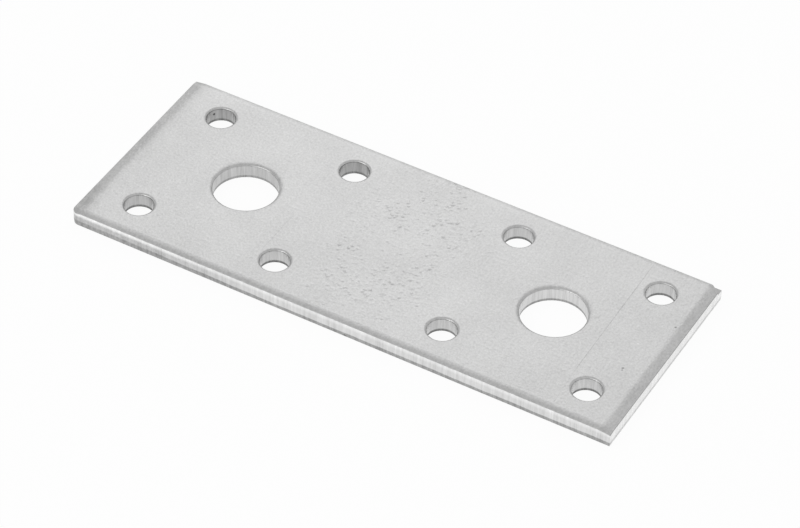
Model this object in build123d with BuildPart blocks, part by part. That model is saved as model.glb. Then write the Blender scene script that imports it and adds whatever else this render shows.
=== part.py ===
"""Flat steel mending plate for joining timber.

One piece of zinc-coated strip: pierced with eight nail holes and two bolt holes, then cropped to
length. Every cut edge has the four zones of sheared metal: the face rolls down towards the cut, a
bright burnished land follows, then a rough break that leans back, and a sharp lower rim.

Frame: the underside lies on z = 0, +X runs along the plate, +Y across it, +Z is up. The origin is
the middle of the outline.
"""
from build123d import *
from math import atan2, degrees, sqrt
import os

# Strip and outline, millimetres
plate_length = 90.0
plate_width = 35.0
plate_thickness = 2.5
front_left_radius = 1.2
back_left_radius = 0.8
back_right_radius = 1.0
front_right_radius = 0.4

# Holes: diameters of the burnished walls, and centre distances
nail_hole_diameter = 4.5
bolt_hole_diameter = 10.0
outer_nail_spacing = 75.0
inner_nail_spacing = 28.0
nail_row_spacing = 23.0
bolt_spacing = 52.0
pattern_offset_x = 0.5      # the plate was cropped this far off the middle of the pierced pattern
pattern_offset_y = 0.25

# Die roll: how far the top face bends down beside each cut, and over what width
end_roll_width = 2.0
end_roll_depth = 0.25
end_bend_length = 0.6       # the ends bend over this length, then slope straight to the cut
side_roll_width = 1.2
side_roll_depth = 0.2
nail_roll_width = 0.5
nail_roll_depth = 0.28
bolt_roll_width = 0.8
bolt_roll_depth = 0.32
rim_radius = 0.12           # round where the rolled face turns down into the cut

# Break zone along the underside: its height, and how far it leans back
edge_break_height = 0.65
edge_break_lean = 0.06
hole_break_height = 0.55
hole_break_lean = 0.04

# Chip torn from the top of the back right corner
chip_length = 1.5
chip_width = 1.3
chip_depth = 0.65

roll_stations = 8       # cross-sections that shape each rolled end
spare = 0.5             # how far tools reach past the metal that they cut


def end_drop(distance):
    """Depth of the rolled end at a distance from the line where it leaves the flat."""
    slope = end_roll_depth / (end_roll_width - end_bend_length / 2)
    bent = min(distance, end_bend_length)
    return slope * (bent**2 / (2 * end_bend_length) + distance - bent)


def crown_section(drop):
    """Cross-section of the crowned strip where its top face lies drop below the flat.

    Each side is an arc that leaves the face tangentially and sinks by side_roll_depth at the cut.
    """
    radius = (side_roll_width**2 + side_roll_depth**2) / (2 * side_roll_depth)
    reach = side_roll_width + spare
    flat_edge = plate_width / 2 - side_roll_width
    outer_edge = flat_edge + reach
    top = plate_thickness - drop
    shoulder = top - (radius - sqrt(radius**2 - reach**2))
    with BuildSketch() as section:
        with BuildLine():
            Line((-flat_edge, top), (flat_edge, top))
            RadiusArc((flat_edge, top), (outer_edge, shoulder), radius)
            Polyline((outer_edge, shoulder), (outer_edge, -spare), (-outer_edge, -spare), (-outer_edge, shoulder))
            RadiusArc((-outer_edge, shoulder), (-flat_edge, top), radius)
        make_face()
    return section.sketch


# Outline of the blank, with its four corner radii
with BuildSketch() as plate_outline:
    Rectangle(plate_length, plate_width)
    left, right = plate_outline.vertices().group_by(Axis.X)
    fillet(left.sort_by(Axis.Y)[0], front_left_radius)
    fillet(left.sort_by(Axis.Y)[-1], back_left_radius)
    fillet(right.sort_by(Axis.Y)[-1], back_right_radius)
    fillet(right.sort_by(Axis.Y)[0], front_right_radius)

# The crown: a form wider and longer than the plate, whose top is flat in the middle, rolls down
# along both sides and both ends, and so sinks furthest at the corners
flat_half_length = plate_length / 2 - end_roll_width
with BuildPart() as crown:
    with BuildSketch(Plane.YZ.offset(-flat_half_length)):
        add(crown_section(0))
    extrude(amount=2 * flat_half_length)
    for side in (-1, 1):
        for station in range(roll_stations + 1):
            distance = (end_roll_width + spare) * station / roll_stations
            with BuildSketch(Plane.YZ.offset(side * (flat_half_length + distance))):
                add(crown_section(end_drop(distance)))
        loft()


def hole_punch(diameter, roll_width, roll_depth):
    """Solid of one pierced hole: rolled rim above, burnished wall, break that opens downwards."""
    wall = diameter / 2
    rim_start = plate_thickness - roll_depth
    with BuildPart() as punch:
        with BuildSketch(Plane.XZ):
            with BuildLine():
                Polyline(
                    (0, -spare),
                    (wall + hole_break_lean, -spare),
                    (wall + hole_break_lean, 0),
                    (wall, hole_break_height),
                    (wall, rim_start),
                )
                EllipticalCenterArc((wall + roll_width, rim_start), roll_width, roll_depth, 180, arc_size=-90)
                Polyline(
                    (wall + roll_width, plate_thickness),
                    (wall + roll_width, plate_thickness + spare),
                    (0, plate_thickness + spare),
                    (0, -spare),
                )
            make_face()
        revolve(axis=Axis.Z)
    return punch.part


nail_punch = hole_punch(nail_hole_diameter, nail_roll_width, nail_roll_depth)
bolt_punch = hole_punch(bolt_hole_diameter, bolt_roll_width, bolt_roll_depth)
edge_break_angle = degrees(atan2(edge_break_lean, edge_break_height))

with BuildPart() as mending_plate:
    # Blank: upright land, and the break that leans back below it
    with BuildSketch(Plane.XY.offset(edge_break_height)):
        add(plate_outline.sketch)
    extrude(amount=plate_thickness - edge_break_height)
    with BuildSketch(Plane.XY.offset(edge_break_height)):
        add(plate_outline.sketch)
    extrude(amount=-edge_break_height, taper=edge_break_angle)

    # Rolled top face, and the small round at its rim
    add(crown.part, mode=Mode.INTERSECT)
    walls = mending_plate.faces().filter_by(lambda face: abs(face.normal_at().Z) < 0.01)
    fillet([wall.edges().sort_by(Axis.Z)[-1] for wall in walls], rim_radius)

    # Pierced holes
    with Locations((pattern_offset_x, pattern_offset_y)):
        with GridLocations(outer_nail_spacing, nail_row_spacing, 2, 2):
            add(nail_punch, mode=Mode.SUBTRACT)
        with GridLocations(inner_nail_spacing, nail_row_spacing, 2, 2):
            add(nail_punch, mode=Mode.SUBTRACT)
        with GridLocations(bolt_spacing, 0, 2, 1):
            add(bolt_punch, mode=Mode.SUBTRACT)

    # Torn corner
    with BuildSketch(Plane.XY.offset(plate_thickness - chip_depth)):
        with Locations((plate_length / 2, plate_width / 2)):
            Polygon((0, 0), (-chip_length, 0), (0, -chip_width), align=None)
    extrude(amount=chip_depth, mode=Mode.SUBTRACT)

mending_plate.part.label = "mending_plate"

os.makedirs("parts", exist_ok=True)
export_step(mending_plate.part, "parts/mending_plate.step")
print("volume mm3", round(mending_plate.part.volume, 2), "faces", len(mending_plate.faces()))
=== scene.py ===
import math

import bmesh
import bpy
from mathutils import Matrix, Vector

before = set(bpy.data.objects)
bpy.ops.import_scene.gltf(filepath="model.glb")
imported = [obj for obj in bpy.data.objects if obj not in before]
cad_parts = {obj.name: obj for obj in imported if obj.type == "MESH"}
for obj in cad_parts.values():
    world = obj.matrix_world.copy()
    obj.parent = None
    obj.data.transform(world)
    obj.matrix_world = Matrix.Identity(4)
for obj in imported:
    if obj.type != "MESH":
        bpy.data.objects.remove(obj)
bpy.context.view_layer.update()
print("frame loaded")

# distances in the dictionaries are millimetres, and angles are degrees
mm = 0.001


class Tree:
    # a node tree with short calls for adding and joining nodes

    def __init__(self, tree):
        self.tree = tree

    def node(self, kind, **settings):
        made = self.tree.nodes.new("ShaderNode" + kind)
        for name, value in settings.items():
            setattr(made, name, value)
        return made

    def put(self, socket, value):
        if isinstance(value, bpy.types.NodeSocket):
            self.tree.links.new(value, socket)
        else:
            socket.default_value = value

    def math(self, operation, *values, clamp=False):
        made = self.node("Math", operation=operation, use_clamp=clamp)
        for socket, value in zip(made.inputs, values):
            self.put(socket, value)
        return made.outputs[0]

    def plus(self, a, b):
        return self.math("ADD", a, b)

    def minus(self, a, b):
        return self.math("SUBTRACT", a, b)

    def times(self, a, b):
        return self.math("MULTIPLY", a, b)

    def vector(self, operation, a, b=(0.0, 0.0, 0.0), scale=1.0, out=0):
        made = self.node("VectorMath", operation=operation)
        self.put(made.inputs[0], a)
        self.put(made.inputs[1], b)
        self.put(made.inputs[3], scale)
        return made.outputs[out]

    def split(self, vector):
        made = self.node("SeparateXYZ")
        self.put(made.inputs[0], vector)
        return made.outputs

    def gap(self, a, b):
        # how far apart two places are
        return self.vector("LENGTH", self.vector("SUBTRACT", a, b), out=1)

    def ramp(self, value, low, high, toLow=0.0, toHigh=1.0):
        # a smooth step from one level to another as the value goes from low to high
        made = self.node("MapRange", interpolation_type="SMOOTHSTEP")
        labels = ("Value", "From Min", "From Max", "To Min", "To Max")
        for label, given in zip(labels, (value, low, high, toLow, toHigh)):
            self.put(made.inputs[label], given)
        return made.outputs[0]

    def blend(self, amount, a, b):
        made = self.node("Mix", data_type="FLOAT")
        self.put(made.inputs[0], amount)
        self.put(made.inputs[2], a)
        self.put(made.inputs[3], b)
        return made.outputs[0]

    def noise(self, place, scale, detail=2.0, rough=0.5, stretch=(1.0, 1.0, 1.0), shift=(0.0, 0.0, 0.0)):
        mapping = self.node("Mapping")
        self.put(mapping.inputs["Vector"], place)
        mapping.inputs["Scale"].default_value = stretch
        mapping.inputs["Location"].default_value = shift
        made = self.node("TexNoise")
        self.put(made.inputs["Vector"], mapping.outputs[0])
        made.inputs["Scale"].default_value = scale
        made.inputs["Detail"].default_value = detail
        made.inputs["Roughness"].default_value = rough
        return made.outputs[0]

    def swing(self, place, **settings):
        # noise that swings to both sides of zero
        return self.minus(self.noise(place, **settings), 0.5)


def startGroup(name, takes, gives):
    group = bpy.data.node_groups.new(name, "ShaderNodeTree")
    for label, kind, value in takes:
        socket = group.interface.new_socket(label, in_out="INPUT", socket_type="NodeSocket" + kind)
        socket.default_value = value
    for label in gives:
        group.interface.new_socket(label, in_out="OUTPUT", socket_type="NodeSocketFloat")
    given = group.nodes.new("NodeGroupInput").outputs
    return Tree(group), given, group.nodes.new("NodeGroupOutput").inputs


def useGroup(tree, group, values):
    made = tree.tree.nodes.new("ShaderNodeGroup")
    made.node_tree = group
    for name, value in values.items():
        tree.put(made.inputs[name], value)
    return made.outputs


# a scored line: its wander, the share of its width at full depth, and where it drops out
scoreLook = {
    "wobble": {"scale": 0.35}, "core": 0.3,
    "dropout": {"scale": 1.1, "detail": 3.0, "rough": 0.6}, "dropoutEdge": (0.42, 0.58),
}


def makeScoreLine(look):
    # a fine scored line or a short pit between two places on the face
    takes = (
        ("Place", "Vector", (0, 0, 0)), ("From", "Vector", (0, 0, 0)), ("To", "Vector", (1, 0, 0)),
        ("Width", "Float", 0.1), ("Skips", "Float", 0.5),
    )
    tree, given, out = startGroup("scoreLine", takes, ("Mask",))
    along = tree.vector("SUBTRACT", given["To"], given["From"])
    here = tree.vector("SUBTRACT", given["Place"], given["From"])
    across = tree.vector("DOT_PRODUCT", here, along, out=1)
    length = tree.vector("DOT_PRODUCT", along, along, out=1)
    share = tree.math("DIVIDE", across, length, clamp=True)
    gap = tree.gap(here, tree.vector("SCALE", along, scale=share))
    bent = tree.plus(gap, tree.times(tree.swing(given["Place"], **look["wobble"]), given["Width"]))
    near = tree.ramp(bent, given["Width"], tree.times(given["Width"], look["core"]))
    dropout = tree.ramp(tree.noise(given["Place"], **look["dropout"]), *look["dropoutEdge"])
    kept = tree.minus(1.0, tree.times(given["Skips"], tree.minus(1.0, dropout)))
    tree.put(out["Mask"], tree.times(near, kept))
    return tree.tree


# the coat's grain: fine speckle, brushed streaks across the strip, and broad clouds
grainLook = {
    "fine": {"scale": 3.2, "detail": 3.0, "rough": 0.65, "stretch": (1.0, 0.75, 1.0)},
    "brush": {"scale": 2.2, "rough": 0.6, "stretch": (1.0, 0.25, 1.0), "shift": (7.0, 3.0, 0.0)},
    "cloud": {"scale": 0.11, "detail": 3.0, "rough": 0.55, "shift": (2.0, 5.0, 0.0)},
    "brushShare": 0.25,
}


def makeZincGrain(look):
    # fine speckle of the zinc coat, with cloudy tone across the face
    takes = (("Place", "Vector", (0, 0, 0)), ("Fine", "Float", 1.0), ("Cloud", "Float", 1.0))
    tree, given, out = startGroup("zincGrain", takes, ("Tone", "Height"))
    fine = tree.swing(given["Place"], **look["fine"])
    brush = tree.swing(given["Place"], **look["brush"])
    cloud = tree.swing(given["Place"], **look["cloud"])
    grit = tree.plus(fine, tree.times(brush, look["brushShare"]))
    tone = tree.plus(tree.times(grit, given["Fine"]), tree.times(cloud, given["Cloud"]))
    tree.put(out["Tone"], tone)
    tree.put(out["Height"], grit)
    return tree.tree


# pimples: the patch's ragged edge, its calmer middle, the domes, and the lumps between them
pimpleLook = {
    "ragged": {"scale": 0.22, "detail": 3.0, "rough": 0.6}, "raggedShare": 1.6,
    "patchEdge": (1.05, 0.65), "middleEdge": (0.2, 0.6), "middleLevel": 0.55,
    "cellScale": 1.2, "cellSmooth": 0.4, "domeEdge": (0.48, 0.0), "pitEdge": (0.3, 0.1),
    "chosen": {"scale": 0.45, "shift": (9.0, 1.0, 0.0)}, "chosenEdge": (0.42, 0.54),
    "lumps": {"scale": 1.5, "detail": 1.0, "rough": 0.4, "shift": (4.0, 9.0, 0.0)},
    "lumpEdge": (0.4, 0.85), "lumpShare": 0.5,
}


def makePimples(look):
    # small raised grains in the coat, thick in one patch and sparse elsewhere
    takes = (
        ("Place", "Vector", (0, 0, 0)), ("Patch Centre", "Vector", (0, 0, 0)),
        ("Patch Size", "Vector", (10, 10, 1)), ("Sparse", "Float", 0.2),
    )
    tree, given, out = startGroup("coatPimples", takes, ("Height", "Pit"))
    away = tree.vector("SUBTRACT", given["Place"], given["Patch Centre"])
    away = tree.vector("DIVIDE", away, given["Patch Size"])
    ragged = tree.times(tree.swing(given["Place"], **look["ragged"]), look["raggedShare"])
    reach = tree.plus(tree.vector("LENGTH", away, out=1), ragged)
    patch = tree.ramp(reach, *look["patchEdge"], given["Sparse"], 1.0)
    patch = tree.times(patch, tree.ramp(reach, *look["middleEdge"], look["middleLevel"], 1.0))
    cells = tree.node("TexVoronoi", feature="SMOOTH_F1")
    tree.put(cells.inputs["Vector"], given["Place"])
    cells.inputs["Scale"].default_value = look["cellScale"]
    cells.inputs["Smoothness"].default_value = look["cellSmooth"]
    chosen = tree.ramp(tree.noise(given["Place"], **look["chosen"]), *look["chosenEdge"])
    domes = tree.times(tree.ramp(cells.outputs["Distance"], *look["domeEdge"]), chosen)
    lumps = tree.ramp(tree.noise(given["Place"], **look["lumps"]), *look["lumpEdge"])
    tree.put(out["Height"], tree.times(tree.plus(domes, tree.times(lumps, look["lumpShare"])), patch))
    pits = tree.ramp(cells.outputs["Distance"], *look["pitEdge"])
    tree.put(out["Pit"], tree.times(pits, tree.times(chosen, patch)))
    return tree.tree


# drag lines: noise drawn out along the height of the wall
shearLook = {
    "fine": {"scale": 4.2, "rough": 0.6, "stretch": (1.0, 1.0, 0.06)},
    "broad": {"scale": 1.3, "stretch": (1.0, 1.0, 0.1), "shift": (3.0, 8.0, 0.0)},
}


def makeShearLines(look):
    # upright drag lines that a punch or shear leaves down a cut wall
    takes = (("Place", "Vector", (0, 0, 0)), ("Coarse", "Float", 1.0))
    tree, given, out = startGroup("shearLines", takes, ("Tone",))
    fine = tree.swing(given["Place"], **look["fine"])
    broad = tree.swing(given["Place"], **look["broad"])
    tree.put(out["Tone"], tree.plus(fine, tree.times(broad, given["Coarse"])))
    return tree.tree


scoreLine = makeScoreLine(scoreLook)
zincGrain = makeZincGrain(grainLook)
coatPimples = makePimples(pimpleLook)
shearLines = makeShearLines(shearLook)
print("effects made")


# where walls, rolls, ends and holes begin; each pair is where a mask starts and where it is full
zoneLook = {
    "wallSlope": (0.75, 0.3), "rollLean": (0.05, 0.25), "endSlope": (0.55, 0.85),
    "holesAlong": (42.0, 41.0), "holesAcross": (16.0, 15.4), "nailRowAcross": (6.5, 8.0),
    "dullSide": (-8.0, -38.0), "leftBandAlong": (-41.2, -44.0), "rightEndAlong": (41.5, 42.0),
    "leftBandPatches": {"scale": 0.25, "detail": 3.0, "rough": 0.6}, "patchEdge": (0.35, 0.6, 0.5, 1.0),
    "rimSlope": (0.2, 0.4), "rimAlong": (44.6, 44.8),
    "chipTop": (2.15, 2.0), "chipFloor": (0.5, 0.7), "chipSlope": (0.97, 0.99),
    # how the shaded roll is held to the part of it that leans most
    "rightRoll": (0.03, 0.115), "holeRoll": (0.06, 0.36),
}


def findZones(tree, place, normal, look):
    # masks that tell the face, rolls, walls, ends and holes apart
    x, y, z = tree.split(place)
    normalX, _, normalZ = tree.split(normal)
    outward = tree.math("ABSOLUTE", x)
    sideways = tree.math("ABSOLUTE", y)
    endness = tree.math("ABSOLUTE", normalX)
    upness = tree.math("ABSOLUTE", normalZ)
    lean = tree.math("SQRT", tree.math("SUBTRACT", 1.0, tree.times(upness, upness), clamp=True))
    inner = tree.times(tree.ramp(outward, *look["holesAlong"]), tree.ramp(sideways, *look["holesAcross"]))
    patches = tree.ramp(tree.noise(place, **look["leftBandPatches"]), *look["patchEdge"])
    chipped = tree.times(tree.ramp(z, *look["chipTop"]), tree.ramp(upness, *look["chipSlope"]))
    endFace = tree.times(tree.ramp(endness, *look["endSlope"]), tree.minus(1.0, inner))
    return {
        "height": z, "lean": lean, "inner": inner, "endFace": endFace,
        "wall": tree.ramp(upness, *look["wallSlope"]),
        "rolled": tree.ramp(lean, *look["rollLean"]),
        "dull": tree.ramp(x, *look["dullSide"]),
        "nailRow": tree.times(inner, tree.ramp(sideways, *look["nailRowAcross"])),
        "leftBand": tree.times(tree.ramp(x, *look["leftBandAlong"]), patches),
        "rightEnd": tree.ramp(x, *look["rightEndAlong"]),
        "endRim": tree.times(tree.ramp(endness, *look["rimSlope"]), tree.ramp(outward, *look["rimAlong"])),
        "chipped": tree.times(chipped, tree.ramp(z, *look["chipFloor"])),
    }


# the face; tones run from 0, black, to 1, full white, and changes are added to them
faceLook = {
    # the dark line at the top of each end face is a painted dark reflection
    # the rolled edges are painted darker than the face: painted shade for the dimmer reflection of their tilt
    "faceTone": 0.6, "paintedRollShade": 0.55, "paintedRimShade": 0.4, "fineTone": 0.3, "cloudTone": 0.11,
    # the left end's roll takes more painted shade, broken into random patches
    "paintedLeftRollShade": 0.06, "pitShade": 0.05, "fibreShade": 0.16,
    "fibre": {
        "scale": 1.5, "detail": 3.0, "rough": 0.65, "stretch": (1.0, 0.3, 1.0), "shift": (1.0, 6.0, 0.0),
    },
    "pimples": {"Patch Centre": (1.0, 0.5, 2.5), "Patch Size": (10.5, 19.0, 4.0), "Sparse": 0.2},
    # marks: from, to, width, how much of it skips, and the change of tone
    "marks": (
        ((34.3, 16.2, 2.5), (34.75, -8.2, 2.5), 0.09, 0.3, -0.13),
        ((34.75, -8.2, 2.5), (35.2, -15.9, 2.5), 0.08, 0.6, -0.08),
        ((-16.2, -1.5, 2.5), (-16.35, -10.5, 2.5), 0.08, 0.5, -0.07),
        ((43.0, 6.4, 2.5), (43.05, 6.5, 2.5), 0.2, 0.0, -0.3),
        ((40.35, -4.95, 2.5), (40.4, -4.9, 2.5), 0.2, 0.0, -0.3),
        ((40.45, -5.35, 2.5), (40.5, -5.3, 2.5), 0.16, 0.0, -0.25),
        ((3.4, -9.5, 2.5), (3.7, -9.4, 2.5), 0.45, 0.3, -0.1),
        ((32.6, -10.3, 2.5), (33.0, -10.2, 2.5), 0.5, 0.7, -0.1),
        ((32.2, 2.3, 2.5), (32.5, 2.4, 2.5), 0.4, 0.7, -0.08),
        ((39.95, 0.6, 2.5), (40.05, 0.65, 2.5), 0.15, 0.0, 0.15),
        ((-43.6, -15.0, 2.5), (-44.2, -12.0, 2.5), 2.2, 0.5, -0.07),
    ),
}


def toneFace(tree, place, zones, grain, pimples, look):
    # painted shade darkens the rolled edges
    tone = tree.blend(zones["rolled"], look["faceTone"], look["paintedRollShade"])
    # more painted shade in patches on the left end's roll
    tone = tree.minus(tone, tree.times(zones["leftBand"], look["paintedLeftRollShade"]))
    tone = tree.plus(tone, grain["Tone"])
    tone = tree.minus(tone, tree.times(pimples["Pit"], look["pitShade"]))
    fibre = tree.times(tree.swing(place, **look["fibre"]), zones["rolled"])
    tone = tree.plus(tone, tree.times(fibre, look["fibreShade"]))
    # painted dark reflection along the top of each end face; a chip's ledge takes the same painted shade
    tone = tree.blend(zones["endRim"], tone, look["paintedRimShade"])
    tone = tree.blend(zones["chipped"], tone, look["paintedRimShade"])
    for start, end, width, skips, change in look["marks"]:
        values = {"Place": place, "From": start, "To": end, "Width": width, "Skips": skips}
        mask = useGroup(tree, scoreLine, values)["Mask"]
        tone = tree.plus(tone, tree.times(mask, change))
    return tone


# the cut walls: the burnished land with its rubbed speckle, a painted highlight along its top, and the torn
# band under it
wallLook = {
    "landTone": 0.7, "dullLandTone": 0.52, "landSpeckle": 0.08, "dullLandSpeckle": 0.35,
    "rubbed": {
        "scale": 3.0, "detail": 3.0, "rough": 0.7, "stretch": (1.0, 1.0, 0.8), "shift": (2.0, 2.0, 5.0),
    },
    # a painted highlight along the top of the long walls, stronger on the dull side
    "paintedTopHighlight": 0.14, "dullPaintedTopHighlight": 0.4, "paintedHighlightHeight": (1.5, 2.15),
    "tornTone": 0.42, "tornHeight": 0.68, "tornWander": 0.4, "dullTornRise": 0.25, "tornEdge": 0.12,
    "wander": {
        "scale": 0.16, "detail": 3.0, "rough": 0.6, "stretch": (1.0, 1.0, 0.1), "shift": (4.0, 0.0, 0.0),
    },
    "tornGrit": {"scale": 2.6, "detail": 3.0, "rough": 0.65}, "tornGritShade": 0.35,
    # ends and holes differ a little from the long sides; the end faces are painted bright, a painted
    # reflection of the floor
    "endLandPaintedReflection": 0.86, "endTornPaintedReflection": 0.74,
    "holeLandTone": 0.58, "nailTornTone": 0.26, "holeTornHeight": 0.45,
    "lineShade": 0.3,
    # hole walls that are darker or lighter than the rest: centre, reach and change of tone
    "holeShades": (
        ((-37.0, 11.75, 1.0), 3.2, -0.2), ((-13.5, 11.75, 1.0), 3.2, -0.22),
        ((-37.0, -11.25, 1.0), 3.2, -0.1), ((-25.5, 0.25, 1.0), 6.5, -0.05), ((26.5, 0.25, 1.0), 6.5, 0.08),
    ),
    "holeShadeCore": 0.9,
    # small dark spots: centre, reach and change of tone
    "spots": (((-38.95, 12.88, 1.5), 0.28, -0.3), ((2.0, -17.45, 0.1), 0.35, -0.25)),
    "spotCore": 0.4,
}


def addSpots(tree, tone, place, spots, core):
    # each spot is full out to its core, a share of its reach
    for centre, reach, change in spots:
        near = tree.ramp(tree.gap(place, centre), reach, reach * core)
        tone = tree.plus(tone, tree.times(near, change))
    return tone


def findTorn(tree, place, zones, look):
    # the torn band's upper edge wanders along the long sides
    edge = tree.plus(look["tornHeight"], tree.times(tree.swing(place, **look["wander"]), look["tornWander"]))
    edge = tree.plus(edge, tree.times(zones["dull"], look["dullTornRise"]))
    edge = tree.blend(zones["inner"], edge, look["holeTornHeight"])
    return tree.ramp(tree.minus(zones["height"], edge), look["tornEdge"], -look["tornEdge"])


def toneWalls(tree, place, zones, torn, drag, look):
    rubbed = tree.blend(zones["dull"], look["landSpeckle"], look["dullLandSpeckle"])
    rubbed = tree.times(tree.swing(place, **look["rubbed"]), rubbed)
    land = tree.plus(tree.blend(zones["dull"], look["landTone"], look["dullLandTone"]), rubbed)
    land = tree.blend(zones["inner"], land, look["holeLandTone"])
    land = addSpots(tree, land, place, look["holeShades"], look["holeShadeCore"])
    # a painted highlight along the top of the long walls
    paintedHighlight = tree.blend(zones["dull"], look["paintedTopHighlight"], look["dullPaintedTopHighlight"])
    paintedHighlight = tree.times(paintedHighlight, tree.minus(1.0, zones["inner"]))
    land = tree.plus(land, tree.times(paintedHighlight, tree.ramp(zones["height"], *look["paintedHighlightHeight"])))
    # the end faces are painted bright, a painted reflection of the floor
    land = tree.blend(zones["endFace"], land, look["endLandPaintedReflection"])
    band = tree.blend(zones["nailRow"], look["tornTone"], look["nailTornTone"])
    band = tree.blend(zones["endFace"], band, look["endTornPaintedReflection"])
    band = tree.plus(band, tree.times(tree.swing(place, **look["tornGrit"]), look["tornGritShade"]))
    tone = addSpots(tree, tree.blend(torn, land, band), place, look["spots"], look["spotCore"])
    return tree.plus(tone, tree.times(drag["Tone"], look["lineShade"]))


def tightenRolls(tree, normal, zones, look):
    # the roll into each hole and at the right end is shaded tighter than its full width
    keep = tree.blend(zones["rightEnd"], 1.0, tree.ramp(zones["lean"], *look["rightRoll"]))
    keep = tree.blend(zones["inner"], keep, tree.ramp(zones["lean"], *look["holeRoll"]))
    spread = tree.node("CombineXYZ")
    tree.put(spread.inputs[0], keep)
    tree.put(spread.inputs[1], keep)
    spread.inputs[2].default_value = 1.0
    return tree.vector("NORMALIZE", tree.vector("MULTIPLY", normal, spread.outputs[0]))


# the zinc coat as a whole
zincLook = {
    "faceRough": 0.28, "landRough": 0.3, "tornRough": 0.6, "blueShare": 0.997,
    "grainHeight": 0.5, "bumpDepth": 0.05, "coarseLines": 0.8,
}


def makeZinc(look):
    material = bpy.data.materials.new("zincCoatedSteel")
    material.use_nodes = True
    material.node_tree.nodes.clear()
    tree = Tree(material.node_tree)
    coords = tree.node("TexCoord")
    normal = coords.outputs["Normal"]
    place = tree.vector("MULTIPLY", coords.outputs["Object"], (1 / mm, 1 / mm, 1 / mm))
    zones = findZones(tree, place, normal, zoneLook)

    grainValues = {"Place": place, "Fine": faceLook["fineTone"], "Cloud": faceLook["cloudTone"]}
    grain = useGroup(tree, zincGrain, grainValues)
    pimples = useGroup(tree, coatPimples, {"Place": place, **faceLook["pimples"]})
    drag = useGroup(tree, shearLines, {"Place": place, "Coarse": look["coarseLines"]})

    torn = findTorn(tree, place, zones, wallLook)
    faceTone = toneFace(tree, place, zones, grain, pimples, faceLook)
    wallTone = toneWalls(tree, place, zones, torn, drag, wallLook)
    tone = tree.blend(zones["wall"], faceTone, wallTone)
    colour = tree.node("CombineColor")
    tree.put(colour.inputs[0], tone)
    tree.put(colour.inputs[1], tone)
    tree.put(colour.inputs[2], tree.times(tone, look["blueShare"]))
    wallRough = tree.blend(torn, look["landRough"], look["tornRough"])

    faceHeight = tree.plus(tree.times(grain["Height"], look["grainHeight"]), pimples["Height"])
    bump = tree.node("Bump")
    bump.inputs["Distance"].default_value = look["bumpDepth"] * mm
    tree.put(bump.inputs["Height"], tree.blend(zones["wall"], faceHeight, drag["Tone"]))
    tree.put(bump.inputs["Normal"], tightenRolls(tree, normal, zones, zoneLook))

    shader = tree.node("BsdfPrincipled")
    shader.inputs["Metallic"].default_value = 1.0
    tree.put(shader.inputs["Base Color"], colour.outputs[0])
    tree.put(shader.inputs["Roughness"], tree.blend(zones["wall"], look["faceRough"], wallRough))
    tree.put(shader.inputs["Normal"], bump.outputs[0])
    output = tree.node("OutputMaterial")
    tree.put(output.inputs["Surface"], shader.outputs[0])
    return material


zinc = makeZinc(zincLook)
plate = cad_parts["mending_plate"]
for slot in plate.material_slots:
    slot.material = zinc
print("plate finished in zinc")


# the floor's glow is how white it looks where it is seen, directly or in the metal
studioLook = {
    "floorSpan": 6000.0, "floorTone": 0.95, "floorGlow": 0.94, "worldLevel": 0.73,
    "backBox": {"azimuth": 207.5, "height": 33.0, "distance": 900.0, "span": (420.0, 600.0), "level": 0.47},
    "frontFill": {"azimuth": -27.0, "height": 40.0, "distance": 1000.0, "span": (800.0, 500.0), "level": 1.2},
}


def makeFloorWhite(look):
    material = bpy.data.materials.new("studioFloorWhite")
    material.use_nodes = True
    material.node_tree.nodes.clear()
    tree = Tree(material.node_tree)
    rays = tree.node("LightPath")
    seen = tree.math("ADD", rays.outputs["Is Camera Ray"], rays.outputs["Is Glossy Ray"], clamp=True)
    seen = tree.math("ADD", seen, rays.outputs["Is Transmission Ray"], clamp=True)
    matt = tree.node("BsdfDiffuse")
    matt.inputs["Color"].default_value = (look["floorTone"], look["floorTone"], look["floorTone"], 1.0)
    glow = tree.node("Emission")
    glow.inputs["Strength"].default_value = 1.0
    mix = tree.node("MixShader")
    tree.put(mix.inputs[0], tree.times(seen, look["floorGlow"]))
    tree.put(mix.inputs[1], matt.outputs[0])
    tree.put(mix.inputs[2], glow.outputs[0])
    output = tree.node("OutputMaterial")
    tree.put(output.inputs["Surface"], mix.outputs[0])
    return material


def makeFloor(look):
    bm = bmesh.new()
    bmesh.ops.create_grid(bm, x_segments=1, y_segments=1, size=look["floorSpan"] * mm / 2)
    mesh = bpy.data.meshes.new("studioFloor")
    bm.to_mesh(mesh)
    bm.free()
    mesh.materials.append(makeFloorWhite(look))
    floor = bpy.data.objects.new("studioFloor", mesh)
    bpy.context.scene.collection.objects.link(floor)


def directionFrom(azimuth, height):
    # azimuth runs from the front, and height up from the floor
    turn = math.radians(azimuth)
    rise = math.radians(height)
    return Vector((math.sin(turn) * math.cos(rise), -math.cos(turn) * math.cos(rise), math.sin(rise)))


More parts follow.
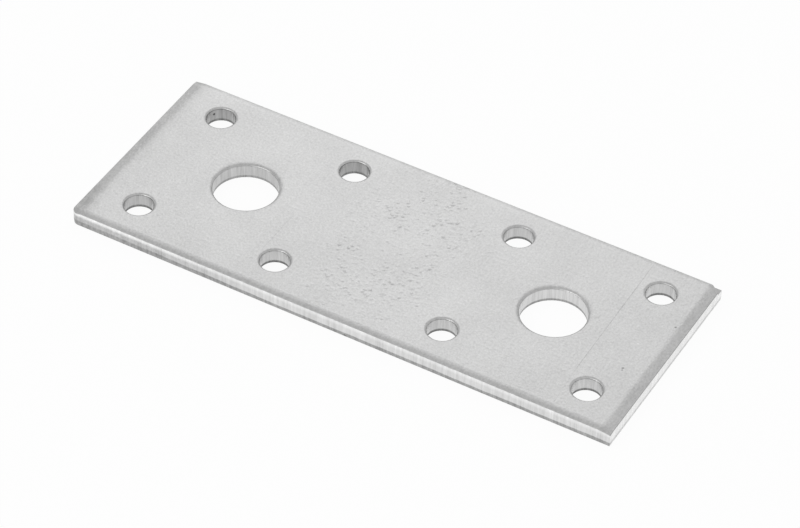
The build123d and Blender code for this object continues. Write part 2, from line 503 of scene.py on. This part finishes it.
def makeSoftbox(name, look):
    data = bpy.data.lights.new(name, "AREA")
    data.shape = "RECTANGLE"
    data.size = look["span"][0] * mm
    data.size_y = look["span"][1] * mm
    # an area lamp of this power has a surface brightness equal to its level
    data.energy = look["level"] * math.pi * data.size * data.size_y
    lamp = bpy.data.objects.new(name, data)
    bpy.context.scene.collection.objects.link(lamp)
    toward = directionFrom(look["azimuth"], look["height"])
    lamp.location = toward * look["distance"] * mm
    lamp.rotation_euler = toward.to_track_quat("Z", "Y").to_euler()


def makeWorld(look):
    world = bpy.data.worlds.new("studioWorld")
    world.use_nodes = True
    world.node_tree.nodes.clear()
    tree = Tree(world.node_tree)
    plain = tree.node("Background")
    plain.inputs["Color"].default_value = (1.0, 1.0, 1.0, 1.0)
    plain.inputs["Strength"].default_value = look["worldLevel"]
    output = tree.node("OutputWorld")
    tree.put(output.inputs["Surface"], plain.outputs[0])
    bpy.context.scene.world = world


makeFloor(studioLook)
makeWorld(studioLook)
for boxName in ("backBox", "frontFill"):
    makeSoftbox(boxName, studioLook[boxName])
print("studio lit")


# the camera stands this far back from the middle of the plate, shifted by the two aims
cameraPlace = {
    "azimuth": 28.73, "height": 42.81, "roll": 1.70, "distance": 564.9,
    "aimRight": 1.006, "aimUp": -0.494, "lens": 173.12, "sensorWidth": 36.0, "farClip": 20000.0,
}


def makeCamera(place):
    back = directionFrom(place["azimuth"], place["height"])
    level = back.to_track_quat("Z", "Y").to_matrix()
    turned = level @ Matrix.Rotation(math.radians(place["roll"]), 3, "Z")
    data = bpy.data.cameras.new("studioCamera")
    data.sensor_width = place["sensorWidth"]
    data.lens = place["lens"]
    data.clip_end = place["farClip"] * mm
    camera = bpy.data.objects.new("studioCamera", data)
    bpy.context.scene.collection.objects.link(camera)
    camera.location = turned @ Vector((place["aimRight"], place["aimUp"], place["distance"])) * mm
    camera.rotation_euler = turned.to_euler()
    bpy.context.scene.camera = camera


makeCamera(cameraPlace)
bpy.context.scene.view_settings.view_transform = "Standard"
print("camera set")
